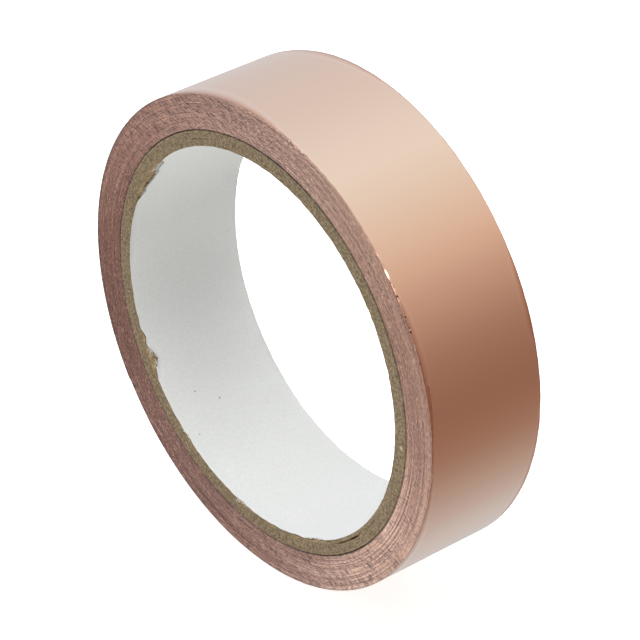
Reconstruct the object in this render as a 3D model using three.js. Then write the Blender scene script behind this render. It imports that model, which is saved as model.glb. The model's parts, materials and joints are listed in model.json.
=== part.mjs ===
// A roll of copper foil tape on a spiral-wound paperboard core, as used in stained glass work.
// Millimetres, +Z up. The roll stands on its rim with its own axis along Y, so its two wound
// sides face -Y and +Y. The origin is the point of the floor right under the core's axis.
// The tape is wound foil outwards: release liner, adhesive and copper foil, from inside to
// outside. Its free end lies on the rim on the -X side and can be lifted, in short stretches
// that turn on creases across the tape. At its very end the foil, with its adhesive, peels off
// the liner.

import * as THREE from "three";

// Core
const boreDiameter = 76.2;
const facePaperThickness = 0.4;
const boardPlyThickness = 0.5;
const boardPlyCount = 5;

// Tape
const tapeWidth = 25.4;
const foilThickness = 0.035;
const adhesiveThickness = 0.03;
const linerThickness = 0.055;
const turnCount = 58;

// The strip of thin double-sided tape that holds the first turn on the core, and the play that
// its thickness leaves between the core and the winding
const starterThickness = 0.08;
const starterLength = 20;
const starterAngle = 60;
const windingPlay = 0.02;

// Clearances
const layerClearance = 0.006; // between two layers that lie on each other
const creaseClearance = 0.1; // between one stretch of the free end and the next

// Round shapes are regular polygons with one flat exactly at the bottom, so the roll rests on it.
const sideCount = 72;
const sideAngle = 360 / sideCount;

// Angles run from +X towards +Z and on round the roll, more than once round where they follow
// the winding. The last turn comes away from the winding just past the floor, passes over the
// top, and ends low on the -X side.
const lastTurnStart = 285;
const firstCrease = 525;
const liftStretchAngle = 10;
const liftStretchCount = 4;
const peelStretchAngle = 5;
const peelStretchCount = 3;

// Radii
const coreRadius = boreDiameter / 2 + facePaperThickness + boardPlyCount * boardPlyThickness;
const windingBore = coreRadius + starterThickness + windingPlay;
const turnThickness = linerThickness + adhesiveThickness + foilThickness;
const lastTurnBore = windingBore + (turnCount - 1) * turnThickness;

// The winding is a spiral. This is the radius of its surface under the last turn, and past the
// free end, where nothing lies on it.
function windingRadius(angle) {
  return lastTurnBore + (turnThickness * (angle - lastTurnStart)) / 360;
}

const floorAngle = 270 + 360;
const axisHeight = windingRadius(floorAngle + sideAngle / 2) * Math.cos((sideAngle * Math.PI) / 360);

function polarPoint(radius, angle) {
  const radians = (angle * Math.PI) / 180;
  return new THREE.Vector2(radius * Math.cos(radians), radius * Math.sin(radians));
}

// A point on the many-sided spiral, a set distance outside the winding's surface. Between two
// corners it lies on the flat that joins them.
function spiralPoint(angle, height) {
  const place = angle / sideAngle - 0.5;
  const before = (Math.floor(place) + 0.5) * sideAngle;
  const after = before + sideAngle;
  const start = polarPoint(windingRadius(before) + height, before);
  const end = polarPoint(windingRadius(after) + height, after);
  return start.lerp(end, place - Math.floor(place));
}

function spiralLine(fromAngle, toAngle, height) {
  const points = [spiralPoint(fromAngle, height)];
  const firstCorner = Math.floor(fromAngle / sideAngle + 0.5) + 0.5;
  for (let corner = firstCorner; corner * sideAngle < toAngle; corner += 1) {
    points.push(polarPoint(windingRadius(corner * sideAngle) + height, corner * sideAngle));
  }
  points.push(spiralPoint(toAngle, height));
  return points;
}

// The corners of a regular polygon, from one place on its rim to another.
function arcLine(radius, firstCorner, cornerCount) {
  const points = [];
  for (let corner = firstCorner; corner < firstCorner + cornerCount; corner += 1) {
    points.push(polarPoint(radius, (corner + 0.5) * sideAngle));
  }
  return points;
}

const roll = new THREE.Group();
roll.position.z = axisHeight;

// Carries an outline, drawn in the plane of the roll's side, across the tape's whole width.
function addAcross(name, outline, material) {
  const geometry = new THREE.ExtrudeGeometry(outline, { depth: tapeWidth, bevelEnabled: false });
  geometry.rotateX(Math.PI / 2);
  geometry.translate(0, tapeWidth / 2, 0);
  const mesh = new THREE.Mesh(geometry, material);
  mesh.name = name;
  roll.add(mesh);
}

function addRing(name, innerRadius, outerRadius, material) {
  const outline = new THREE.Shape(arcLine(outerRadius, 0, sideCount));
  outline.holes.push(new THREE.Path(arcLine(innerRadius, 0, sideCount).reverse()));
  addAcross(name, outline, material);
}

const facePaper = new THREE.MeshStandardMaterial({ color: 0xe9e9e6, roughness: 0.9, metalness: 0 });
const chipboard = new THREE.MeshStandardMaterial({ color: 0x8c7b5c, roughness: 0.95, metalness: 0 });
const starterTissue = new THREE.MeshStandardMaterial({ color: 0xd9d6cc, roughness: 0.6, metalness: 0 });
const woundEdge = new THREE.MeshStandardMaterial({ color: 0x9c776b, roughness: 0.6, metalness: 0.4 });
const copper = new THREE.MeshStandardMaterial({ color: 0xd79a74, roughness: 0.3, metalness: 1 });
const acrylic = new THREE.MeshStandardMaterial({ color: 0xd8c9b4, roughness: 0.35, metalness: 0 });
const releasePaper = new THREE.MeshStandardMaterial({ color: 0xeae6dc, roughness: 0.5, metalness: 0 });

// The core: a white face paper inside, and grey-brown chipboard plies wound and glued round it.
function addPly(name, innerRadius, thickness, material) {
  const inner = innerRadius + layerClearance / 2;
  const outer = innerRadius + thickness - layerClearance / 2;
  addRing(name, inner, outer, material);
}

addPly("core_face_paper", boreDiameter / 2, facePaperThickness, facePaper);
const boardBore = boreDiameter / 2 + facePaperThickness;
for (let ply = 0; ply < boardPlyCount; ply += 1) {
  const plyBore = boardBore + ply * boardPlyThickness;
  addPly("core_board_ply_" + (ply + 1), plyBore, boardPlyThickness, chipboard);
}

// The starter strip lies on the core, under the first turn.
const starterSides = Math.max(1, Math.round((starterLength * 360) / (2 * Math.PI * coreRadius * sideAngle)));
const starterCorner = Math.round(starterAngle / sideAngle);
const starterInner = coreRadius + layerClearance / 2;
const starterOuter = coreRadius + starterThickness - layerClearance / 2;
const starterOutline = new THREE.Shape([
  ...arcLine(starterOuter, starterCorner, starterSides + 1),
  ...arcLine(starterInner, starterCorner, starterSides + 1).reverse(),
]);
addAcross("starter_tape", starterOutline, starterTissue);

// The winding: every turn but the last, with a step where the last turn comes away from it.
const woundOutline = new THREE.Shape(spiralLine(lastTurnStart, lastTurnStart + 360, 0));
woundOutline.holes.push(new THREE.Path(arcLine(windingBore, 0, sideCount).reverse()));
addAcross("wound_turns", woundOutline, woundEdge);

// One layer of the tape outside the winding, from one angle to another.
function addLayer(name, fromAngle, toAngle, bottom, thickness, material) {
  const slit = (creaseClearance * 180) / (Math.PI * lastTurnBore) / 2;
  const low = bottom + layerClearance / 2;
  const high = bottom + thickness - layerClearance / 2;
  const outline = new THREE.Shape([
    ...spiralLine(fromAngle + slit, toAngle - slit, high),
    ...spiralLine(fromAngle + slit, toAngle - slit, low).reverse(),
  ]);
  addAcross(name, outline, material);
}

function addLiner(name, fromAngle, toAngle) {
  addLayer(name, fromAngle, toAngle, 0, linerThickness, releasePaper);
}

function addAdhesive(name, fromAngle, toAngle) {
  addLayer(name, fromAngle, toAngle, linerThickness, adhesiveThickness, acrylic);
}

function addFoil(name, fromAngle, toAngle) {
  addLayer(name, fromAngle, toAngle, linerThickness + adhesiveThickness, foilThickness, copper);
}

// The last turn, up to the free end's first crease.
addLiner("last_turn_liner", lastTurnStart, firstCrease);
addAdhesive("last_turn_adhesive", lastTurnStart, firstCrease);
addFoil("last_turn_foil", lastTurnStart, firstCrease);

// The free end that lifts. Under the part that peels, its last stretch is bare liner.
const lastLiftCrease = firstCrease + (liftStretchCount - 1) * liftStretchAngle;
const peelStart = lastLiftCrease + liftStretchAngle / 2;
const tapeEnd = peelStart + peelStretchCount * peelStretchAngle;
for (let stretch = 0; stretch < liftStretchCount; stretch += 1) {
  const from = firstCrease + stretch * liftStretchAngle;
  const isLast = stretch === liftStretchCount - 1;
  const linerTo = isLast ? tapeEnd : from + liftStretchAngle;
  const foilTo = isLast ? peelStart : from + liftStretchAngle;
  addLiner("tail_liner_" + (stretch + 1), from, linerTo);
  addAdhesive("tail_adhesive_" + (stretch + 1), from, foilTo);
  addFoil("tail_foil_" + (stretch + 1), from, foilTo);
}

// The foil and its adhesive that peel off the liner.
for (let stretch = 0; stretch < peelStretchCount; stretch += 1) {
  const from = peelStart + stretch * peelStretchAngle;
  addAdhesive("peel_adhesive_" + (stretch + 1), from, from + peelStretchAngle);
  addFoil("peel_foil_" + (stretch + 1), from, from + peelStretchAngle);
}

export default new THREE.Group().add(roll);
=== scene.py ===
"""A roll of copper foil tape on its paperboard core, for stained glass work.

Metres, +Z up. The roll stands on its rim with its own axis along Y. Angles run from +X
towards +Z and on round the roll, and more than once round where they follow the winding.
"""

import json
import math

import bpy
import numpy as np
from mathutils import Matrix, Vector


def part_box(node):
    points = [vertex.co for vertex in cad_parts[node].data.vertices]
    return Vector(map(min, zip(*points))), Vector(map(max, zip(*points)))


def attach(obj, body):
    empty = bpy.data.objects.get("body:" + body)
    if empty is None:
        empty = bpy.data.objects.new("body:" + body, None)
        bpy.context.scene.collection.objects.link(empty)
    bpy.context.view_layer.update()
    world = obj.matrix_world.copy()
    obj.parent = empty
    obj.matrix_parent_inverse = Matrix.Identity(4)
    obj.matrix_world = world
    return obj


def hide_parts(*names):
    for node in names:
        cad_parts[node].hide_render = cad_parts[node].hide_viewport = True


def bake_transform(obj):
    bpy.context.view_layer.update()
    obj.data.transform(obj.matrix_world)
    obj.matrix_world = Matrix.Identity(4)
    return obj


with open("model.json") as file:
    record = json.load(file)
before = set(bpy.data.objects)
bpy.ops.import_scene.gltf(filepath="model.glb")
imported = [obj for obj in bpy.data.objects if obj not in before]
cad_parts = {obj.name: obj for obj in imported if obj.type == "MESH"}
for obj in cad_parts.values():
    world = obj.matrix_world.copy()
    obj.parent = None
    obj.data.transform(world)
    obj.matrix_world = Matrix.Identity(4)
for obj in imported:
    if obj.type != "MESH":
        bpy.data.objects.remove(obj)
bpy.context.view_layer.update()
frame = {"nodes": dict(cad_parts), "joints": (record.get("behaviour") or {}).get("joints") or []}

# ---------------------------------------------------------------- camera, floor and light
# A product shot in a light tent: a large soft light overhead, a pale wall on the left, an
# unlit room on the right past the front, and a bright sheet of paper close round the roll.

paper_low, paper_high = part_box("core_face_paper")
axis_height = (paper_low.z + paper_high.z) / 2
half_width = (paper_high.y - paper_low.y) / 2

VIEW_AZIMUTH = math.radians(50.4)
VIEW_ELEVATION = math.radians(32.8)
VIEW_DISTANCE = 0.6709
AIM_RIGHT = 0.0016
AIM_UP = 0.0002
LENS = 206.3
SENSOR_WIDTH = 36
CLIP_NEAR = 0.05
CLIP_FAR = 20

to_camera = np.array([
    math.sin(VIEW_AZIMUTH) * math.cos(VIEW_ELEVATION),
    -math.cos(VIEW_AZIMUTH) * math.cos(VIEW_ELEVATION),
    math.sin(VIEW_ELEVATION),
])
camera_right = np.array([math.cos(VIEW_AZIMUTH), math.sin(VIEW_AZIMUTH), 0.0])
camera_up = np.cross(to_camera, camera_right)
roll_centre = np.array([0.0, 0.0, axis_height])
aim = roll_centre + AIM_RIGHT * camera_right + AIM_UP * camera_up

camera = bpy.data.objects.new("camera", bpy.data.cameras.new("camera"))
bpy.context.scene.collection.objects.link(camera)
bpy.context.scene.camera = camera
camera.data.sensor_width = SENSOR_WIDTH
camera.data.lens = LENS
camera.data.clip_start = CLIP_NEAR
camera.data.clip_end = CLIP_FAR
camera.location = roll_centre + VIEW_DISTANCE * to_camera
look = Vector(aim) - camera.location
camera.rotation_mode = "QUATERNION"
camera.rotation_quaternion = look.to_track_quat("-Z", "Y")

bpy.context.scene.view_settings.view_transform = "Standard"


def new_node(tree, kind, given=(), **settings):
    """A node with these settings. What its inputs are given, by name or by number, is linked
    where it is a socket and set where it is a value."""
    made = tree.nodes.new(kind)
    for name, value in settings.items():
        setattr(made, name, value)
    for name, value in dict(given).items():
        if isinstance(value, bpy.types.NodeSocket):
            tree.links.new(value, made.inputs[name])
        else:
            made.inputs[name].default_value = value
    return made


def worked(tree, operation, *given):
    """The number that a Math node makes of the numbers and sockets that it is given."""
    return new_node(tree, "ShaderNodeMath", enumerate(given), operation=operation).outputs[0]


def ranged(tree, value, low, high, to_low=0.0, to_high=1.0):
    """A number that goes from one end to the other as the value goes from low to high."""
    limits = {0: value, 1: low, 2: high, 3: to_low, 4: to_high}
    return new_node(tree, "ShaderNodeMapRange", limits).outputs[0]


def colour_ramp(tree, place, stops):
    """The colour at a place along a ramp with these (place, colour) stops."""
    ramp = new_node(tree, "ShaderNodeValToRGB", {0: place})
    elements = ramp.color_ramp.elements
    while len(elements) > 1:
        elements.remove(elements[-1])
    for number, (stop, colour) in enumerate(stops):
        element = elements[0] if number == 0 else elements.new(stop)
        element.position = stop
        element.color = (*colour, 1)
    return ramp.outputs[0]


# What the foil mirrors, by the angle round the roll's axis: 0 is level to the right, 90 is
# overhead, 180 level to the left, -90 straight down.
SURROUND = [
    (-180, (0.68, 0.76, 0.81)),
    (-150, (0.72, 0.80, 0.84)),
    (-95, (0.63, 0.71, 0.73)),
    (-62, (0.45, 0.40, 0.35)),
    (-45, (0.35, 0.24, 0.18)),
    (-22, (0.29, 0.18, 0.13)),
    (5, (0.37, 0.26, 0.20)),
    (30, (0.58, 0.47, 0.38)),
    (48, (0.76, 0.69, 0.57)),
    (92, (0.87, 1.03, 1.02)),
    (135, (0.75, 0.83, 0.85)),
    (180, (0.68, 0.76, 0.81)),
]
FILL_STRENGTH = 0.10
world = bpy.data.worlds.new("light_tent")
bpy.context.scene.world = world
world.use_nodes = True
tent = world.node_tree
tent.nodes.clear()
direction = new_node(tent, "ShaderNodeTexCoord").outputs["Generated"]
parts = new_node(tent, "ShaderNodeSeparateXYZ", {0: direction}).outputs
round_axis = worked(tent, "ARCTAN2", parts["Z"], parts["X"])
surround = colour_ramp(tent, ranged(tent, round_axis, -math.pi, math.pi),
                       [((angle + 180) / 360, colour) for angle, colour in SURROUND])


def backdrop(colour, strength):
    """World light of that colour."""
    made = new_node(tent, "ShaderNodeBackground", {"Color": colour, "Strength": strength})
    return made.outputs[0]


seen_by = new_node(tent, "ShaderNodeLightPath").outputs
on_objects = new_node(tent, "ShaderNodeMixShader", {
    0: seen_by["Is Glossy Ray"], 1: backdrop((0.97, 0.99, 1.0, 1), FILL_STRENGTH),
    2: backdrop(surround, 1.0)})
either = new_node(tent, "ShaderNodeMixShader", {
    0: seen_by["Is Camera Ray"], 1: on_objects.outputs[0], 2: backdrop((1, 1, 1, 1), 1.0)})
new_node(tent, "ShaderNodeOutputWorld", {"Surface": either.outputs[0]})

# Square soft lights that point at the roll: (name, place, size, watts, whether it lights paper
# and board, whether the metal mirrors it).
LIGHTS = [
    ("overhead_light", (-0.05, 0.0, 0.9), 0.8, 10.0, True, False),
    ("side_light", (-0.4, -0.5, 0.15), 0.3, 1.62, True, False),
    ("low_light", (0.1, -0.12, 0.012), 0.06, 0.062, True, False),
    ("back_light", (-0.2, 0.7, 0.3), 0.4, 1.8, True, False),
    ("front_card", (0.56, -0.71, 0.66), 0.5, 2.8, False, True),
    ("top_card", (-0.5, -0.6, 0.8), 0.5, 2.6, False, True),
]
for light_name, light_place, size, watts, lights_paper, mirrored in LIGHTS:
    light = bpy.data.objects.new(light_name, bpy.data.lights.new(light_name, "AREA"))
    bpy.context.scene.collection.objects.link(light)
    light.data.size = size
    light.data.energy = watts
    light.location = light_place
    light.rotation_mode = "QUATERNION"
    aim_line = Vector(roll_centre) - Vector(light_place)
    light.rotation_quaternion = aim_line.to_track_quat("-Z", "Y")
    light.visible_diffuse = lights_paper
    light.visible_glossy = mirrored
    light.visible_camera = False

FLOOR_HALF = 3.0
FLOOR_DROP = 0.0001
FLOOR_GLOW = 0.77
floor_mesh = bpy.data.meshes.new("floor")
floor_mesh.from_pydata([(-FLOOR_HALF, -FLOOR_HALF, 0), (FLOOR_HALF, -FLOOR_HALF, 0),
                        (FLOOR_HALF, FLOOR_HALF, 0), (-FLOOR_HALF, FLOOR_HALF, 0)],
                       [], [(0, 1, 2, 3)])
floor = bpy.data.objects.new("floor", floor_mesh)
bpy.context.scene.collection.objects.link(floor)
floor.location.z = -FLOOR_DROP
floor.visible_glossy = False


def new_material(name):
    """A material with nothing but a Principled BSDF: the material, its tree and that node."""
    made = bpy.data.materials.new(name)
    made.use_nodes = True
    return made, made.node_tree, made.node_tree.nodes["Principled BSDF"]


pale, tree, shader = new_material("pale_floor")
shader.inputs["Base Color"].default_value = (0.86, 0.86, 0.86, 1)
shader.inputs["Roughness"].default_value = 0.9
shader.inputs["Emission Color"].default_value = (1, 1, 1, 1)
floor_seen = new_node(tree, "ShaderNodeLightPath").outputs["Is Camera Ray"]
floor_glow = worked(tree, "MULTIPLY", floor_seen, FLOOR_GLOW)
tree.links.new(floor_glow, shader.inputs["Emission Strength"])
floor_mesh.materials.append(pale)


# ---------------------------------------------------------------- core face paper
# The smooth white paper that lines the core. It is the first ply that is wound on the mandrel.
# Its front edge is cut with the core, and has torn back from the board in a few places.

FACE_PAPER_THICKNESS = 0.0004
COLUMNS = 720
turning = np.linspace(0, 2 * np.pi, COLUMNS, endpoint=False)


def build_mesh(name, points, quads, smooth=True, uv=None):
    """An object from an (n, 3) array of points and an (m, 4) array of corners, faces outward."""
    first, second, third, fourth = (points[quads[:, k]] for k in range(4))
    volume = (first * np.cross(second, third)).sum() + (first * np.cross(third, fourth)).sum()
    if volume < 0:
        quads = quads[:, ::-1]
    mesh = bpy.data.meshes.new(name)
    mesh.vertices.add(len(points))
    mesh.vertices.foreach_set("co", points.astype(np.float32).ravel())
    mesh.loops.add(quads.size)
    mesh.loops.foreach_set("vertex_index", quads.astype(np.int32).ravel())
    mesh.polygons.add(len(quads))
    mesh.polygons.foreach_set("loop_start", np.arange(0, quads.size, 4, dtype=np.int32))
    mesh.polygons.foreach_set("use_smooth", np.broadcast_to(smooth, len(quads)))
    if uv is not None:
        layer = mesh.uv_layers.new(name="flat_tape")
        layer.data.foreach_set("uv", uv[quads.ravel()].astype(np.float32).ravel())
    mesh.update(calc_edges=True)
    made = bpy.data.objects.new(name, mesh)
    bpy.context.scene.collection.objects.link(made)
    return made


def give_materials(piece, materials, second=None):
    """Gives a piece its materials: the first all over, or the second on the faces marked."""
    for material in materials:
        piece.data.materials.append(material)
    if second is not None:
        piece.data.polygons.foreach_set("material_index", second.astype(np.int32))


def ring_points(angles, radius, across):
    """Points at a radius from the roll's axis, at an angle round it and a place across it."""
    radius, across = np.broadcast_arrays(radius, across)
    return np.stack([radius * np.cos(angles), across, axis_height + radius * np.sin(angles)],
                    axis=-1).reshape(-1, 3)


def torus_quads(lines, columns):
    """The quads of a grid that closes on itself both ways: lines round the section, by columns."""
    line, column = np.meshgrid(np.arange(lines), np.arange(columns), indexing="ij")
    next_line, next_column = (line + 1) % lines, (column + 1) % columns
    corners = [line * columns + column, line * columns + next_column,
               next_line * columns + next_column, next_line * columns + column]
    return np.stack(corners, axis=-1).reshape(-1, 4)


def uneven(angles, size, waves, seed):
    """A smooth random line round the roll: cosines of 1 to so many waves, with random phases."""
    chance = np.random.default_rng(seed)
    count = np.arange(1, waves + 1)
    phase = chance.uniform(0, 2 * np.pi, waves)
    share = chance.normal(0, 1, waves) / math.sqrt(waves / 2)
    return size * (share * np.cos(np.outer(angles, count) + phase)).sum(1)


def bump_at(angles, place, spread):
    """1 at that angle in degrees, falling to 0 as a bell over so many degrees either side."""
    apart = np.angle(np.exp(1j * (angles - math.radians(place))))
    return np.exp(-(apart / math.radians(spread)) ** 2)


face_outer = (paper_high.x - paper_low.x) / 2
bore_radius = face_outer - FACE_PAPER_THICKNESS

# How far the paper's front edge lies behind the core's front face: (place, spread, depth).
TEARS = [(147, 7.5, 0.0021), (140, 2.2, 0.0010), (155, 1.8, 0.0006), (211, 3.4, 0.0016),
         (204, 1.6, 0.0005), (295, 3.0, 0.0007), (286, 2.0, 0.0003), (236, 1.2, 0.0003),
         (262, 1.6, 0.00025)]
# Where the torn edge curls off the board: (place, spread, height).
CURLS = [(147, 9, 0.00012), (211, 5, 0.0001)]
# How uneven the cut is, how far the paper lies back from it, and how uneven the bore is.
CUT_UNEVEN = 0.00006
CUT_INSET = 0.00003
PAPER_SLACK = 0.00003
paper_setback = np.abs(uneven(turning, CUT_UNEVEN, 90, 1)) + CUT_INSET
for tear_place, tear_spread, tear_depth in TEARS:
    ragged = (1 + uneven(turning, 0.13, 45, int(tear_place))
              + uneven(turning, 0.05, 300, 7 + int(tear_place)))
    paper_setback = paper_setback + tear_depth * ragged * bump_at(turning, tear_place, tear_spread)

ACROSS_LINES = 25
spread_across = np.r_[0, np.linspace(0.002, 0.998, ACROSS_LINES - 2), 1][:, None]
paper_front = -half_width + paper_setback
paper_back = half_width - np.abs(uneven(turning, CUT_UNEVEN, 60, 2))
inside_across = paper_front + (paper_back - paper_front) * spread_across
slack = np.stack([uneven(turning, PAPER_SLACK, 9, 30 + k) for k in range(ACROSS_LINES)])
inside_radius = bore_radius + 0.4 * slack
inside_radius[0] -= sum(height * bump_at(turning, place, spread)
                        for place, spread, height in CURLS)
section_radius = np.vstack([inside_radius, np.full((ACROSS_LINES, COLUMNS), face_outer)])
section_across = np.vstack([inside_across, inside_across[::-1]])
paper_quads = torus_quads(2 * ACROSS_LINES, COLUMNS)
line = np.arange(len(paper_quads)) // COLUMNS
paper_end = (line == ACROSS_LINES - 1) | (line == 2 * ACROSS_LINES - 1)
face_paper = build_mesh("face_paper", ring_points(turning, section_radius, section_across),
                        paper_quads, smooth=~paper_end)


def new_group(name, inputs, outputs):
    """A shader node group with these (name, kind) sockets: the group and its input sockets."""
    group = bpy.data.node_groups.new(name, "ShaderNodeTree")
    for way, sockets in (("INPUT", inputs), ("OUTPUT", outputs)):
        for socket, kind in sockets:
            group.interface.new_socket(socket, in_out=way, socket_type="NodeSocket" + kind)
    return group, group.nodes.new("NodeGroupInput").outputs


def mixed(tree, factor, first, second):
    """A colour that goes from the first to the second as the factor goes from 0 to 1."""
    return new_node(tree, "ShaderNodeMix", {"Factor": factor, "A": first, "B": second},
                    data_type="RGBA").outputs["Result"]


def vector_worked(tree, operation, *given):
    """What a Vector Math node makes of what it is given: a vector, or a number for a length, a
    distance and a dot product."""
    made = new_node(tree, "ShaderNodeVectorMath", enumerate(given), operation=operation)
    return made.outputs[1 if operation in ("LENGTH", "DISTANCE", "DOT_PRODUCT") else 0]


def build_mottling():
    """The cloudy colour of paper, board and cut edges, as a node group. Noise on the coordinates
    that come in is stretched about its middle by the contrast, and then runs from the dark
    through the middle to the light colour between the low and the high level."""
    group, given = new_group(
        "mottling",
        [("Vector", "Vector"), ("Scale", "Float"), ("Detail", "Float"), ("Roughness", "Float"),
         ("Contrast", "Float"), ("Low", "Float"), ("High", "Float"), ("Dark", "Color"),
         ("Middle", "Color"), ("Light", "Color")],
        [("Colour", "Color"), ("Noise", "Float")])
    noise = new_node(group, "ShaderNodeTexNoise", {
        name: given[name] for name in ("Vector", "Scale", "Detail", "Roughness")})
    about_middle = worked(group, "SUBTRACT", noise.outputs["Fac"], 0.5)
    stretched = worked(group, "MULTIPLY_ADD", about_middle, given["Contrast"], 0.5)
    lower, upper = (ranged(group, stretched, given["Low"], given["High"], start, start + 2.0)
                    for start in (0.0, -1.0))
    from_dark = mixed(group, lower, given["Dark"], given["Middle"])
    to_light = mixed(group, upper, from_dark, given["Light"])
    new_node(group, "NodeGroupOutput", {"Colour": to_light, "Noise": stretched})
    return group


def build_place_round():
    """Where round the roll a point in object coordinates lies, as a node group: 0 is level to the
    left, 0.25 straight down, 0.5 level to the right and 0.75 overhead."""
    group, given = new_group("place_round_the_roll", [("Vector", "Vector")], [("Place", "Float")])
    parts = new_node(group, "ShaderNodeSeparateXYZ", {0: given["Vector"]}).outputs
    height = worked(group, "SUBTRACT", parts["Z"], axis_height)
    angle = worked(group, "ARCTAN2", height, parts["X"])
    new_node(group, "NodeGroupOutput", {"Place": ranged(group, angle, -math.pi, math.pi)})
    return group


def build_fleck():
    """A small round fleck, as a node group: 1 within half its size of its centre, falling to 0
    at its size."""
    group, given = new_group("fleck",
                             [("Vector", "Vector"), ("Centre", "Vector"), ("Size", "Float")],
                             [("Mask", "Float")])
    apart = vector_worked(group, "DISTANCE", given["Vector"], given["Centre"])
    inner = worked(group, "MULTIPLY", given["Size"], 0.5)
    mask = ranged(group, apart, inner, given["Size"], 1.0, 0.0)
    new_node(group, "NodeGroupOutput", {"Mask": mask})
    return group


mottling = build_mottling()
place_round = build_place_round()
fleck = build_fleck()


def mottled(tree, vector, scale, levels, dark, middle, light, detail=4.0, roughness=0.6,
            contrast=1.0):
    """The mottling group's outputs, for a material that gives it these values."""
    return new_node(tree, "ShaderNodeGroup", {
        "Vector": vector, "Scale": scale, "Detail": detail, "Roughness": roughness,
        "Contrast": contrast, "Low": levels[0], "High": levels[1], "Dark": (*dark, 1),
        "Middle": (*middle, 1), "Light": (*light, 1)}, node_tree=mottling).outputs


def tinted_round(tree, where, tints, brightest, colour):
    """That colour times shares of red, green and blue that change with the angle round the
    roll. No share is above the brightest."""
    place = new_node(tree, "ShaderNodeGroup", {"Vector": where}, node_tree=place_round).outputs[0]
    stops = [((angle + 180) / 360, [share / brightest for share in channels])
             for angle, *channels in tints]
    shares = colour_ramp(tree, place, stops)
    full = vector_worked(tree, "MULTIPLY", shares, 3 * (brightest,))
    return vector_worked(tree, "MULTIPLY", colour, full)


def all_flecks(tree, where, radius, flecks):
    """One mask for flecks at (angle, across, size), all at that radius from the roll's axis."""
    joined = None
    for angle, across, size in flecks:
        centre = ring_points(np.radians([angle]), radius, np.array([across]))[0].tolist()
        mask = new_node(tree, "ShaderNodeGroup", {"Vector": where, "Centre": centre, "Size": size},
                        node_tree=fleck).outputs[0]
        joined = mask if joined is None else worked(tree, "MAXIMUM", mask, joined)
    return joined


def give_surface(tree, shader, colour, roughness, height=None, strength=0.0, depth=0.0):
    """Gives a shader its colour and its roughness, and its relief where there is a height."""
    tree.links.new(colour, shader.inputs["Base Color"])
    shader.inputs["Roughness"].default_value = roughness
    if height is not None:
        relief = new_node(tree, "ShaderNodeBump",
                          {"Strength": strength, "Distance": depth, "Height": height})
        tree.links.new(relief.outputs[0], shader.inputs["Normal"])


# Painted light and shade on the paper, by the angle round the roll, and the paper's dark flecks as
# (angle, across, size).
PAINTED_BORE_LIGHT = [(-180, 0.985, 0.985, 0.965), (-165, 1.03, 1.03, 1.01), (-150, 1.13, 1.13, 1.12),
          (-130, 1.15, 1.155, 1.14), (-110, 1.11, 1.115, 1.11), (-90, 1.02, 1.025, 1.03),
          (-70, 0.97, 0.97, 0.985), (0, 0.98, 0.98, 0.98), (140, 0.92, 0.92, 0.90),
          (170, 0.925, 0.925, 0.905), (180, 0.985, 0.985, 0.965)]
BORE_LIGHT_TOP = 1.2
FLECKS = [(229.2, -0.0022, 0.00022), (224.6, -0.0064, 0.00018), (236.6, -0.0102, 0.00016),
          (97.0, 0.0061, 0.00020), (18.0, 0.0035, 0.00018)]
FLECK_COLOUR = (0.30, 0.27, 0.24, 1)
paper_white, tree, shader = new_material("white_face_paper")
where = new_node(tree, "ShaderNodeTexCoord").outputs["Object"]
tone = mottled(tree, where, scale=2600.0, levels=(0.3, 0.7), dark=(0.71, 0.715, 0.705),
               middle=(0.77, 0.775, 0.765), light=(0.83, 0.835, 0.83), detail=6.0, roughness=0.75)
# Painted light and shade: the paper is lighter or darker by the angle round the bore.
bore_light_painted = tinted_round(tree, where, PAINTED_BORE_LIGHT, BORE_LIGHT_TOP, tone["Colour"])
flecked = mixed(tree, all_flecks(tree, where, bore_radius, FLECKS), bore_light_painted, FLECK_COLOUR)
fibre = new_node(tree, "ShaderNodeTexNoise", {"Vector": where, "Scale": 2500.0, "Detail": 3.0})
give_surface(tree, shader, flecked, 0.9, fibre.outputs["Fac"], strength=0.3, depth=0.00005)

# A pale scrape on the board's front edge, as (angle, across, size), and its radius.
SCRAPES = [(-2.0, -half_width, 0.0006)]
SCRAPE_RADIUS = 0.0399
SCRAPE_COLOUR = (0.44, 0.36, 0.23, 1)
board_brown, tree, shader = new_material("chipboard_edge")
where = new_node(tree, "ShaderNodeTexCoord").outputs["Object"]
tone = mottled(tree, where, scale=1800.0, levels=(0.30, 0.72), dark=(0.055, 0.038, 0.020),
               middle=(0.225, 0.165, 0.097), light=(0.41, 0.325, 0.208), detail=6.0,
               roughness=0.75, contrast=1.05)
scrape = all_flecks(tree, where, SCRAPE_RADIUS, SCRAPES)
give_surface(tree, shader, mixed(tree, scrape, tone["Colour"], SCRAPE_COLOUR), 0.95,
             tone["Noise"], strength=0.6, depth=0.00012)

give_materials(face_paper, [paper_white, board_brown], line >= ACROSS_LINES - 1)
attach(face_paper, "roll")
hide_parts("core_face_paper")


# ---------------------------------------------------------------- torn paper fibres
# Where the face paper has torn back, its long white fibres stand up in loose curls along the
# torn edge.

FIBRE_STEPS = 10
FIBRE_RADIUS = 0.00005
FIBRE_ROOT = 0.00002  # how far off the paper a fibre starts
# What is drawn by lot for a fibre: its place in the tuft, how many degrees it turns, how far it
# reaches forward, how far it lifts off the paper, and the phase of its curl.
FIBRE_RANGES = [(-1, 1), (-1.6, 1.6), (0.0001, 0.0009), (0.00005, 0.0004), (0, 2 * np.pi)]
# (place, spread, how many, setback of the torn edge)
TUFTS = [(147, 8, 60, 0.0020), (139, 3, 14, 0.0009), (211, 4, 40, 0.0015),
         (295, 4, 20, 0.0006), (262, 3, 8, 0.0002), (236, 2, 6, 0.0002)]


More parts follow.
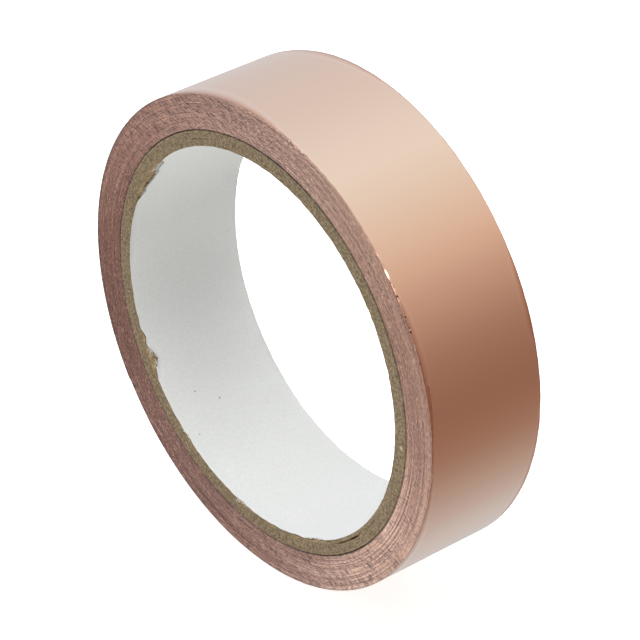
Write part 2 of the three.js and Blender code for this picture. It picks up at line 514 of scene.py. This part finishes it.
def build_fibres(name, tufts, seed):
    """Square tubes along curls: each starts at a torn edge and moves round the bore, towards the
    front and off the paper, with a sine added."""
    chance = np.random.default_rng(seed)
    share = np.linspace(0, 1, FIBRE_STEPS + 1)
    sections = []
    for place, spread, count, setback in tufts:
        start, turned, forward, lift, phase = (chance.uniform(low, high, (count, 1))
                                               for low, high in FIBRE_RANGES)
        curl = turned * (share + 0.25 * np.sin(5 * share + phase))
        angle = np.radians(place + spread * start + curl)
        edge = setback * np.exp(-start ** 2)
        across = -half_width + edge - forward * (share + 0.2 * np.sin(4 * share + phase))
        radius = bore_radius - FIBRE_ROOT - lift * np.sin(2.4 * share)
        for corner in range(4):
            out_turn, across_turn = math.cos(corner * math.pi / 2), math.sin(corner * math.pi / 2)
            sections.append(ring_points(angle, radius + FIBRE_RADIUS * out_turn,
                                        across + FIBRE_RADIUS * across_turn)
                            .reshape(count, FIBRE_STEPS + 1, 3))
    points = np.concatenate([np.stack(sections[4 * k:4 * k + 4], axis=2)
                             for k in range(len(tufts))])
    base = np.arange(len(points))[:, None, None] * (FIBRE_STEPS + 1) * 4
    step, side = np.arange(FIBRE_STEPS)[None, :, None] * 4, np.arange(4)[None, None, :]
    after = (side + 1) % 4
    walls = np.stack(np.broadcast_arrays(base + step + side, base + step + after,
                                         base + step + 4 + after, base + step + 4 + side), axis=-1)
    ends = base[:, 0] + np.array([[3, 2, 1, 0]])
    far_ends = base[:, 0] + FIBRE_STEPS * 4 + np.array([[0, 1, 2, 3]])
    quads = np.concatenate([walls.reshape(-1, 4), ends, far_ends])
    return build_mesh(name, points.reshape(-1, 3), quads)


torn_fibres = build_fibres("torn_paper_fibres", TUFTS, 3)
give_materials(torn_fibres, [paper_white])
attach(torn_fibres, "roll")


# ---------------------------------------------------------------- core board plies
# Grey-brown chipboard strips, wound and glued over the face paper and cut to the tape's width.
# The glue has let go in a few places, where a dark slit shows between two plies.

BOARD_PLIES = 5
EDGE_LINES = 5
EDGE_ROUGH = 0.00002
SLIT_DEPTH = 0.005
# How much further back the edge of every other ply lies, and the half width up to which the
# glue holds a slit shut.
PLY_STEP = 0.00001
GLUED_WIDTH = 0.00001
# (seam after which ply, place in degrees, spread in degrees, half the slit's width)
SLITS = [(1, 308.0, 3.6, 0.00015), (1, 314.0, 3.0, 0.00020), (1, 326.3, 1.5, 0.00012),
         (2, 114.0, 4.5, 0.00008), (2, 149.0, 3.0, 0.00006), (1, 262.0, 3.0, 0.00005)]

glued_board, tree, shader = new_material("glued_chipboard")
where = new_node(tree, "ShaderNodeTexCoord").outputs["Object"]
tone = mottled(tree, where, scale=800.0, levels=(0.3, 0.75), dark=(0.17, 0.105, 0.045),
               middle=(0.40, 0.27, 0.125), light=(0.60, 0.48, 0.32))
give_surface(tree, shader, tone["Colour"], 0.6)


def slit_width(seam):
    """Half the width of the open slit all round, at the seam outside that ply."""
    opened = sum((size * bump_at(turning, place, spread)
                  for after, place, spread, size in SLITS if after == seam), np.zeros(COLUMNS))
    opened = opened * (1 + uneven(turning, 0.2, 120, 50 + seam))
    return np.clip(opened - GLUED_WIDTH, 0, None)


ply_outer = face_outer
for ply in range(1, BOARD_PLIES + 1):
    node = f"core_board_ply_{ply}"
    ply_low, ply_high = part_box(node)
    ply_inner, ply_outer = ply_outer, (ply_high.x - ply_low.x) / 2
    share = np.linspace(0, 1, EDGE_LINES)[:, None]
    front_inner = ply_inner + slit_width(ply - 1)
    front_outer = ply_outer - slit_width(ply)
    front_radius = front_inner + (front_outer - front_inner) * share
    rough = np.stack([uneven(turning, EDGE_ROUGH, 200, 100 * ply + k) for k in range(EDGE_LINES)])
    corner = EDGE_ROUGH * (2 * share - 1) ** 4
    front_across = -half_width + np.abs(rough) + corner + PLY_STEP * (ply % 2)
    deep_radius = np.repeat([ply_outer, ply_outer, ply_inner, ply_inner], COLUMNS)
    deep_across = np.repeat([-half_width + SLIT_DEPTH, half_width, half_width,
                             -half_width + SLIT_DEPTH], COLUMNS)
    board = build_mesh(f"board_ply_{ply}",
                       ring_points(turning, np.vstack([front_radius, deep_radius.reshape(4, -1)]),
                                   np.vstack([front_across, deep_across.reshape(4, -1)])),
                       torus_quads(EDGE_LINES + 4, COLUMNS))
    wall = np.arange(len(board.data.polygons)) // COLUMNS
    give_materials(board, [board_brown, glued_board], wall >= EDGE_LINES + 2)
    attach(board, "roll")
    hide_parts(node)


# ---------------------------------------------------------------- starter tape
# A short strip of thin double-sided tissue tape that holds the first turn on the core. It is
# shut in between core and winding, and is coloured dark brown.

tissue, tree, shader = new_material("starter_tissue")
where = new_node(tree, "ShaderNodeTexCoord").outputs["Object"]
tone = mottled(tree, where, scale=900.0, levels=(0.35, 0.7), dark=(0.10, 0.075, 0.06),
               middle=(0.15, 0.12, 0.095), light=(0.20, 0.16, 0.13), detail=3.0)
give_surface(tree, shader, tone["Colour"], 0.6)
starter = frame["nodes"]["starter_tape"]
starter.data.materials.clear()
starter.data.materials.append(tissue)


# ---------------------------------------------------------------- wound turns
# Every turn of the tape under the last one. The sides show the edges of foil, adhesive and
# liner, slit in one pass: no two turns lie quite level, and the knife has left slanting marks.

TURN_THICKNESS = 0.00012
FLOOR_ANGLE = 630
LAST_TURN_START = 285
WINDING_PLAY = 0.0001
SIDE_COLUMNS = 384
STEP_END = 0.1  # degrees: the length of the step down from the last column to the first
winding_bore = ply_outer + WINDING_PLAY


def winding_radius(degrees):
    """The spiral's radius under the last turn: one tape thickness more for each turn."""
    return axis_height + TURN_THICKNESS * (degrees - FLOOR_ANGLE) / 360


# Where the front edge of the outer turns has been knocked over: (place, spread, depth).
KNOCKS = [(41.2, 3.0, 0.00029), (45.6, 1.8, 0.00021), (51.0, 1.2, 0.00010), (58.0, 1.6, 0.00016),
          (70.5, 2.0, 0.00014), (76.0, 2.6, 0.00017), (84.0, 4.0, 0.00006)]
# How far the back edge is pressed over, all round.
BACK_KNOCKED = 0.00003
# The least round on both edges, and how far in from them it reaches.
EDGE_ROUND = 0.000015
ROUND_REACH = 0.0004
# The wide fall beside both edges, over the top of the roll.
WIDE_FALL = 0.00006
WIDE_REACH = 0.0014
WIDE_PLACE = 104
WIDE_SPREAD = 26
# Up to this angle the turns are pressed down, less and less so over the last so many degrees.
PRESSED_END = 505
PRESSED_FADE = 25


def edge_drop(degrees, across):
    """How far the outer turns are pressed down at a place across the tape: a wide shallow fall
    near each edge over the top of the roll, and a small round at the very edge that is a steep
    bevel where the front edge has been knocked. Both are uneven along the tape, and none is left
    near the free end."""
    angles = np.radians(degrees)
    fade = np.clip((PRESSED_END - degrees) / PRESSED_FADE, 0, 1)
    top = bump_at(angles, WIDE_PLACE, WIDE_SPREAD)
    wide = WIDE_FALL * top * (1 + uneven(angles.ravel(), 0.3, 14, 5).reshape(angles.shape))
    knocked = sum(depth * bump_at(angles, place, spread) for place, spread, depth in KNOCKS)
    knocked = np.where(across < 0, knocked, BACK_KNOCKED)
    ripple = 1 + uneven(angles.ravel(), 0.3, 90, 6).reshape(angles.shape)
    round_off = (EDGE_ROUND + knocked) * ripple
    inset = half_width - np.abs(across)
    far = np.clip(1 - inset / WIDE_REACH, 0, 1)
    near = np.clip(1 - inset / ROUND_REACH, 0, 1)
    return fade * (np.abs(wide) * far ** 2.2 + np.abs(round_off) * near ** 1.15)


turn_count = int(round((winding_radius(LAST_TURN_START) - winding_bore) / TURN_THICKNESS))
side_degrees = np.linspace(LAST_TURN_START, LAST_TURN_START + 360 - STEP_END, SIDE_COLUMNS)
side_angles = np.radians(side_degrees)
side_lines = 2 * turn_count + 1
CREST_SHIFT = 0.6  # how far the paper's edge line is drawn in from half way, in half turns
crest_share = np.arange(side_lines)[:, None] - CREST_SHIFT * (np.arange(side_lines) % 2)[:, None]
line_share = crest_share / (side_lines - 1)


def side_radius(side):
    """The radius of each edge line of the winding's front (-1) or back (1) side, all round."""
    edge = np.full(SIDE_COLUMNS, side * half_width)
    outer = winding_radius(side_degrees) - edge_drop(side_degrees, edge)
    return winding_bore + (outer - winding_bore) * line_share


# How far a turn is out of line, and how far it wanders from that, in so many waves round the
# roll.
TURN_LEVEL = 0.000012
TURN_WANDER = 0.000009
TURN_WAVES = 12
# How far the foil's edge slopes back from the paper's, how deep the first turns lie, over what
# share of the winding, and how far all of it lies back.
FOIL_SLOPE = 0.00005
CORE_DEPTH = 0.0004
CORE_REACH = 0.010
SIDE_INSET = 0.00003


def side_relief(seed):
    """How far each edge line lies behind the winding's flat side: on every turn the paper's edge
    stands out, the foil outside it slopes back, each turn is a little out of line, and the
    first turns lie deeper, beside the core."""
    chance = np.random.default_rng(seed)
    waves = np.arange(1, TURN_WAVES + 1)
    turn = np.arange(side_lines) // 2
    level = chance.normal(0, TURN_LEVEL, (turn.max() + 1, 1))
    share = chance.normal(0, TURN_WANDER, (turn.max() + 1, TURN_WAVES))
    phase = chance.uniform(0, 2 * np.pi, (turn.max() + 1, TURN_WAVES))
    wander = level + (share[:, :, None] * np.cos(waves[:, None] * side_angles + phase[:, :, None])
                      ).sum(1)
    slope_back = FOIL_SLOPE * (1 - np.arange(side_lines) % 2)[:, None]
    beside_core = CORE_DEPTH * np.exp(-line_share / CORE_REACH)
    return np.maximum(wander[turn] + slope_back + SIDE_INSET, 0) + beside_core


OUTER_LINES = 31
outer_share = np.linspace(-1, 1, OUTER_LINES)
outer_across = (half_width * np.sign(outer_share) * (1 - (1 - np.abs(outer_share)) ** 1.6))[1:-1]
outer_radius = winding_radius(side_degrees) - edge_drop(
    np.broadcast_to(side_degrees, (len(outer_across), SIDE_COLUMNS)), outer_across[:, None])
winding_section_radius = np.vstack([side_radius(-1), outer_radius, side_radius(1)[::-1]])
winding_section_across = np.vstack([
    -half_width + side_relief(11),
    np.broadcast_to(outer_across[:, None], outer_radius.shape),
    (half_width - side_relief(12))[::-1],
])
section_lines = len(winding_section_radius)
winding_quads = torus_quads(section_lines, SIDE_COLUMNS)
line = np.arange(len(winding_quads)) // SIDE_COLUMNS
on_rim = (line >= side_lines - 1) & (line < side_lines + OUTER_LINES - 2)
on_bore = line == line.max()
winding_uv = np.stack([np.tile(side_angles * axis_height, section_lines),
                       winding_section_across.ravel()], axis=-1)
wound_turns = build_mesh("wound_turns_edges",
                         ring_points(side_angles, winding_section_radius, winding_section_across),
                         winding_quads, smooth=on_rim | on_bore, uv=winding_uv)

wound_edge, tree, shader = new_material("wound_tape_edge")
where = new_node(tree, "ShaderNodeTexCoord").outputs["Object"]
centred = new_node(tree, "ShaderNodeMapping", {"Vector": where, "Location": (0, 0, -axis_height)})
flat = vector_worked(tree, "MULTIPLY", centred.outputs[0], (1, 0, 1))
from_axis = vector_worked(tree, "LENGTH", flat)
outward = vector_worked(tree, "NORMALIZE", flat)
turns_out = worked(tree, "MULTIPLY", from_axis, 1 / TURN_THICKNESS)
across_turns = new_node(tree, "ShaderNodeCombineXYZ", {1: turns_out}).outputs[0]


def along_turns(length):
    """Noise coordinates on the winding's side: a unit is one turn outwards, and along the turn
    the length in metres that is given."""
    stretched = vector_worked(tree, "MULTIPLY", outward, 3 * (axis_height / length,))
    return vector_worked(tree, "ADD", across_turns, stretched)


def towards(x, z):
    """From 1 in that direction from the roll's axis to -1 in the opposite one."""
    return vector_worked(tree, "DOT_PRODUCT", outward, (x, 0, z))


# Painted light and shade on the turns' edges, by the angle round the roll.
PAINTED_SIDE_LIGHT = [(-180, 0.76, 0.69, 0.68), (-155, 0.58, 0.53, 0.53), (-125, 0.57, 0.50, 0.51),
          (-105, 0.60, 0.54, 0.54), (-90, 0.95, 0.93, 0.89), (-75, 1.25, 1.36, 1.36),
          (-62, 1.50, 1.74, 1.76), (-48, 1.69, 1.96, 1.95), (-30, 1.82, 2.08, 2.03),
          (-15, 1.36, 1.46, 1.38), (0, 0.98, 0.97, 0.92), (30, 0.88, 0.86, 0.77),
          (60, 1.00, 1.06, 0.98), (90, 1.01, 1.03, 0.98), (120, 1.10, 1.09, 1.02),
          (150, 1.06, 1.01, 0.96), (180, 0.76, 0.69, 0.68)]
SIDE_LIGHT_TOP = 2.4
PIT_AND_SHADE_COLOUR = (0.075, 0.040, 0.042, 1)
GLINT_COLOUR = (0.86, 0.58, 0.45, 1)
# Painted shade in the small dents where the knocked corner has lost a crumb of foil, as (angle,
# across, size).
NICK_SHADE_SPOTS = [(37.3, -half_width, 0.00034), (32.8, -half_width, 0.00030), (30.4, -half_width, 0.00028),
         (29.5, -half_width, 0.00034), (22.6, -half_width, 0.00022)]
NICK_SHADE_COLOUR = (0.045, 0.022, 0.018, 1)

# The turns' edges: bands along the turns, bolder at the lower right.
low_right = towards(0.5, -0.866)
tone = mottled(tree, along_turns(0.016), scale=0.42, levels=(0.26, 0.74), dark=(0.22, 0.11, 0.09),
               middle=(0.45, 0.26, 0.212), light=(0.66, 0.44, 0.365), roughness=0.75,
               contrast=ranged(tree, low_right, 0.2, 1.0, 1.0, 1.8))
# Painted light and shade: the side's colour is lighter or darker by the angle round the roll.
side_light_tone = tinted_round(tree, where, PAINTED_SIDE_LIGHT, SIDE_LIGHT_TOP, tone["Colour"])

# Short dark pits and bright glints along the turns, and slanting lines from the knife.
dash = new_node(tree, "ShaderNodeTexNoise", {"Vector": along_turns(0.0006), "Scale": 0.74,
                                             "Detail": 4.0, "Roughness": 0.7}).outputs["Fac"]
pit = ranged(tree, dash, 0.34, 0.47, 0.12, 1.0)
glint = ranged(tree, dash, 0.56, 0.66, 0.0, 0.85)
turned = new_node(tree, "ShaderNodeMapping", {"Vector": where,
                                              "Rotation": (0, math.radians(-15), 0)})
slanted = new_node(tree, "ShaderNodeMapping", {"Vector": turned.outputs[0],
                                               "Scale": (800, 200, 5600)})
knife = new_node(tree, "ShaderNodeTexNoise", {"Vector": slanted.outputs[0], "Scale": 1.0,
                                              "Detail": 2.0}).outputs["Fac"]
knife_line = ranged(tree, knife, 0.50, 0.64, 0.0, 0.85)
knife_where = ranged(tree, worked(tree, "ABSOLUTE", low_right), 0.55, 0.95, 0.12, 1.0)
knife_left = worked(tree, "SUBTRACT", 1.0, worked(tree, "MULTIPLY", knife_line, knife_where))
marks = worked(tree, "MULTIPLY", pit, knife_left)

# Darker on the first turns beside the core, and painted shade on the outer turns at the lower
# left.
core_side_dark = ranged(tree, from_axis, winding_bore + 0.00008, winding_bore + 0.00036, 0.15, 1.0)
outer_painted_shade = ranged(tree, towards(-0.8, -0.6), -0.5, 0.4, 0.0, 0.85)
outer_near = ranged(tree, from_axis, axis_height - 0.00034, axis_height - 0.0001)
outer_unshaded = worked(tree, "SUBTRACT", 1.0, worked(tree, "MULTIPLY", outer_painted_shade, outer_near))
core_dark_and_outer_shade = worked(tree, "MULTIPLY", core_side_dark, outer_unshaded)
unmarked_unshaded = worked(tree, "MULTIPLY", marks, core_dark_and_outer_shade)

# Pits, knife marks, the darker first turns and the painted shade at the lower left share one dark
# colour.
edge_colour = mixed(tree, unmarked_unshaded, PIT_AND_SHADE_COLOUR, side_light_tone)
with_glints = mixed(tree, glint, edge_colour, GLINT_COLOUR)
# Painted shade: dark spots in the dents of the knocked corner.
with_nick_shade = mixed(tree, all_flecks(tree, where, axis_height - 0.00002, NICK_SHADE_SPOTS), with_glints,
                NICK_SHADE_COLOUR)
give_surface(tree, shader, with_nick_shade, 0.5, marks, strength=0.6, depth=0.00006)
tree.links.new(ranged(tree, glint, 0.0, 0.75, 0.2, 0.7), shader.inputs["Metallic"])

# The foil's colour by how far in from the edge, as a share of the width of painted edge shade
# there.
EDGE_SHADE_COLOURS = [(0.0, (0.554, 0.299, 0.217)), (0.3, (0.726, 0.403, 0.302)),
                (0.6, (0.831, 0.481, 0.371)), (1.15, (0.907, 0.585, 0.477)),
                (1.9, (0.985, 0.68, 0.575)), (3.0, (0.955, 0.65, 0.53))]
# That width in millimetres, by the angle along the last turn.
EDGE_SHADE_WIDTHS = [(285, 0.7), (330, 0.9), (340, 0.7), (352, 0.45), (360, 0.25), (377, 0.25),
                  (378.5, 0.7), (392, 0.6), (398, 0.2), (401, 0.03), (407, 0.03), (410, 0.2),
                  (440, 0.2), (450, 0.7), (470, 1.25), (490, 1.2), (520, 0.6), (575, 0.6)]
WIDEST_EDGE_SHADE = 1.4
UNDER_EDGE_DARK_COLOUR = (0.75, 0.435, 0.335, 1)


def make_copper(name, under_edge_darkening):
    """Bright rolled copper foil, with fine rolling lines along the tape. Its two edges carry
    painted shade, a brown strip of uneven width that stands in for the dark reflection on the
    edges. Edge darkening, from 0 to 1, is how much darker and browner the foil of the turn below
    is beside its edges."""
    made, tree, shader = new_material(name)
    flat_place = new_node(tree, "ShaderNodeUVMap", uv_map="flat_tape").outputs[0]
    along, off_middle, _ = new_node(tree, "ShaderNodeSeparateXYZ", {0: flat_place}).outputs
    rolled = new_node(tree, "ShaderNodeMapping", {"Vector": flat_place, "Scale": (60, 6000, 1)})
    rolling_line = new_node(tree, "ShaderNodeTexNoise", {"Vector": rolled.outputs[0],
                                                         "Scale": 1.0, "Detail": 3.0})
    cloud = new_node(tree, "ShaderNodeTexNoise", {"Vector": flat_place, "Scale": 500.0,
                                                  "Detail": 3.0})
    ragged = worked(tree, "MULTIPLY_ADD", cloud.outputs["Fac"], 0.0005, -0.00025)
    edge_place = worked(tree, "ADD", worked(tree, "ABSOLUTE", off_middle), ragged)
    inset = worked(tree, "SUBTRACT", half_width, edge_place)
    turned = ranged(tree, along, math.radians(LAST_TURN_START) * axis_height,
                    math.radians(LAST_TURN_START + 360) * axis_height)
    width_stops = [((angle - LAST_TURN_START) / 360, 3 * (size / WIDEST_EDGE_SHADE,))
                   for angle, size in EDGE_SHADE_WIDTHS]
    width = colour_ramp(tree, turned, width_stops)
    widest_share = EDGE_SHADE_COLOURS[-1][0]
    shares_in = worked(tree, "MULTIPLY", worked(tree, "DIVIDE", inset, width),
                       1 / (0.001 * WIDEST_EDGE_SHADE * widest_share))
    # Painted shade: the foil goes dark brown towards its edges, standing in for a dark reflection.
    edge_shade_tone = colour_ramp(tree, shares_in,
                            [(share / widest_share, colour) for share, colour in EDGE_SHADE_COLOURS])
    # Darker and browner beside the edges of the turn below, as far as the edge darkening says.
    darker_under = ranged(tree, edge_place, half_width - 0.0018, half_width - 0.0009, 0.0, under_edge_darkening)
    colour = mixed(tree, darker_under, edge_shade_tone, UNDER_EDGE_DARK_COLOUR)
    on_roll = new_node(tree, "ShaderNodeTexCoord").outputs["Object"]
    # Painted shade: dark spots in the dents of the knocked corner.
    with_nick_shade = mixed(tree, all_flecks(tree, on_roll, axis_height, NICK_SHADE_SPOTS), colour, NICK_SHADE_COLOUR)
    shader.inputs["Metallic"].default_value = 1.0
    give_surface(tree, shader, with_nick_shade, 0.27, rolling_line.outputs["Fac"], strength=0.12,
                 depth=0.000004)
    return made


copper = make_copper("copper_foil", 0.0)
under_copper = make_copper("copper_foil_under", 1.0)
give_materials(wound_turns, [wound_edge, under_copper], on_rim)
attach(wound_turns, "roll")
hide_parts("wound_turns")


# ---------------------------------------------------------------- last turn and free end
# The last turn as its three layers: paper release liner, clear acrylic adhesive and soft copper
# foil. The free end is springy enough to lie on the rim, and bends where it is lifted.

# Each layer's lower and upper surface, as a height over the winding.
LINER = (0.000001, 0.000054)
ADHESIVE = (0.000056, 0.000084)
FOIL = (0.000086, 0.000119)
TAPE_END = 575
STEP_DEGREES = 0.25
# Degrees: a very short first and last row, which keeps the shading flat up to the cut.
END_ROW = 0.004
# The outermost turn's front edge lies back from the ones below it: more and more over so many
# degrees up to this angle, where a tear over so many degrees brings it forward again.
SET_BACK = 0.00095
SET_BACK_END = 360 + 17.7
SET_BACK_LENGTH = 25
TEAR_LENGTH = 0.25
# Small nicks in that edge: (place, spread, depth).
NICKS = [(74.6, 0.4, 0.00010), (50.3, 0.4, 0.00014), (47.6, 0.3, 0.00010), (39.4, 0.7, 0.00036),
         (36.6, 0.5, 0.00026), (33.2, 0.6, 0.0003), (30.1, 0.5, 0.00028), (26.4, 0.5, 0.00012)]

# Places across the tape from front to back, closest together at its two edges.
ACROSS_POINTS = 41
even_share = np.linspace(-1, 1, ACROSS_POINTS)
across_share = np.sign(even_share) * (1 - (1 - np.abs(even_share)) ** 2.2)


def strip(name, start, end, layer, material):
    """One layer of the tape, from one angle to another: its upper and its lower surface are the
    spiral plus a height, joined by walls along its edges and ends."""
    rows = max(2, int(round((end - start) / STEP_DEGREES)) + 1)
    degrees = np.r_[start, np.linspace(start + END_ROW, end - END_ROW, rows), end]
    taper = np.clip((SET_BACK_END - degrees) / SET_BACK_LENGTH, 0, 1)
    torn = np.clip((SET_BACK_END - degrees) / TEAR_LENGTH, 0, 1) * SET_BACK * (1 - taper)
    torn = torn * (1 + uneven(np.radians(degrees), 0.12, 40, 9)) + 0.00001
    for nick_place, nick_spread, nick_depth in NICKS:
        torn = torn + nick_depth * bump_at(np.radians(degrees), nick_place, nick_spread)
    front = -half_width + torn
    middle, half = (half_width + front) / 2, (half_width - front) / 2
    across = middle[:, None] + half[:, None] * across_share
    along = np.broadcast_to(degrees[:, None], across.shape)
    base = winding_radius(along) - edge_drop(along, across)
    columns = len(across_share)
    bottom, top = (ring_points(np.radians(along), base + height, across)
                   .reshape(len(degrees), columns, 3) for height in layer)
    loop = np.concatenate([top, bottom[:, ::-1]], axis=1)
    around = 2 * columns
    step, place = np.meshgrid(np.arange(len(degrees) - 1), np.arange(around), indexing="ij")
    following = (place + 1) % around
    walls = np.stack([step * around + place, step * around + following,
                      (step + 1) * around + following, (step + 1) * around + place], axis=-1)
    one = np.arange(columns - 1)
    cap = np.stack([one, around - 1 - one, around - 2 - one, one + 1], axis=-1)
    last = (len(degrees) - 1) * around
    quads = np.concatenate([walls.reshape(-1, 4), cap, (cap + last)[:, ::-1]])
    length = np.radians(degrees)[:, None] * axis_height + np.zeros(around)
    width = np.concatenate([across, across[:, ::-1]], axis=1)
    uv = np.stack([length.ravel(), width.ravel()], axis=-1)
    side_wall = (place.ravel() == columns - 1) | (place.ravel() == around - 1)
    on_caps = np.zeros(2 * len(cap), bool)  # the two ends are flat, and of the layer's material
    made = build_mesh(name, loop.reshape(-1, 3), quads, uv=uv,
                      smooth=np.concatenate([~side_wall, on_caps]))
    if material is copper:
        give_materials(made, [copper])
    else:
        give_materials(made, [material, wound_edge], np.concatenate([side_wall, on_caps]))
    return made


liner_paper, tree, shader = new_material("release_liner")
flat_place = new_node(tree, "ShaderNodeUVMap", uv_map="flat_tape").outputs[0]
tone = mottled(tree, flat_place, scale=700.0, levels=(0.3, 0.7), dark=(0.74, 0.71, 0.63),
               middle=(0.79, 0.765, 0.695), light=(0.84, 0.82, 0.76))
give_surface(tree, shader, tone["Colour"], 0.45)

glue, tree, shader = new_material("acrylic_adhesive")
flat_place = new_node(tree, "ShaderNodeUVMap", uv_map="flat_tape").outputs[0]
tone = mottled(tree, flat_place, scale=350.0, levels=(0.3, 0.7), dark=(0.62, 0.42, 0.30),
               middle=(0.66, 0.46, 0.335), light=(0.70, 0.50, 0.37), detail=3.0)
give_surface(tree, shader, tone["Colour"], 0.2)

# The angles of the creases on which the free end lifts, and of those on which its foil peels.
crease = {}
for joint in frame["joints"]:
    x, _, z = joint["pos_m"]
    crease[joint["name"]] = 360 + math.degrees(math.atan2(z - axis_height, x)) % 360
lift = [crease[name] for name in ("tape_lift", "tape_lift_2", "tape_lift_3", "tape_lift_4")]
peel = [crease[name] for name in ("foil_peel", "foil_peel_2", "foil_peel_3")]
# Degrees: how far before its first crease the free end starts to bend.
LIFT_LEAD = 2.0


def between(first, second):
    """The angle half way between two creases."""
    return (first + second) / 2


lift_end = between(lift[3], peel[0])
lift_stops = [lift[0] - LIFT_LEAD, between(*lift[:2]), between(*lift[1:3]), between(*lift[2:4])]
peel_stops = [lift_end, between(*peel[:2]), between(*peel[1:]), TAPE_END]
for layer_name, layer, material, slot in (("liner", LINER, liner_paper, "release_liner"),
                                          ("adhesive", ADHESIVE, glue, "adhesive"),
                                          ("foil", FOIL, copper, "copper_foil")):
    wound = strip(f"last_turn_{layer_name}_wound", LAST_TURN_START, lift_stops[0], layer, material)
    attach(wound, "roll")
    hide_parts(f"last_turn_{layer_name}")
    stops = [*lift_stops, TAPE_END if layer_name == "liner" else lift_end]
    for number in range(4):
        start, end = stops[number:number + 2]
        piece = strip(f"free_{layer_name}_{number + 1}", start, end, layer, material)
        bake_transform(piece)
        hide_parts(f"tail_{layer_name}_{number + 1}")
    if layer_name == "liner":
        continue
    for number in range(3):
        start, end = peel_stops[number:number + 2]
        piece = strip(f"end_{layer_name}_{number + 1}", start, end, layer, material)
        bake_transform(piece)
        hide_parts(f"peel_{layer_name}_{number + 1}")
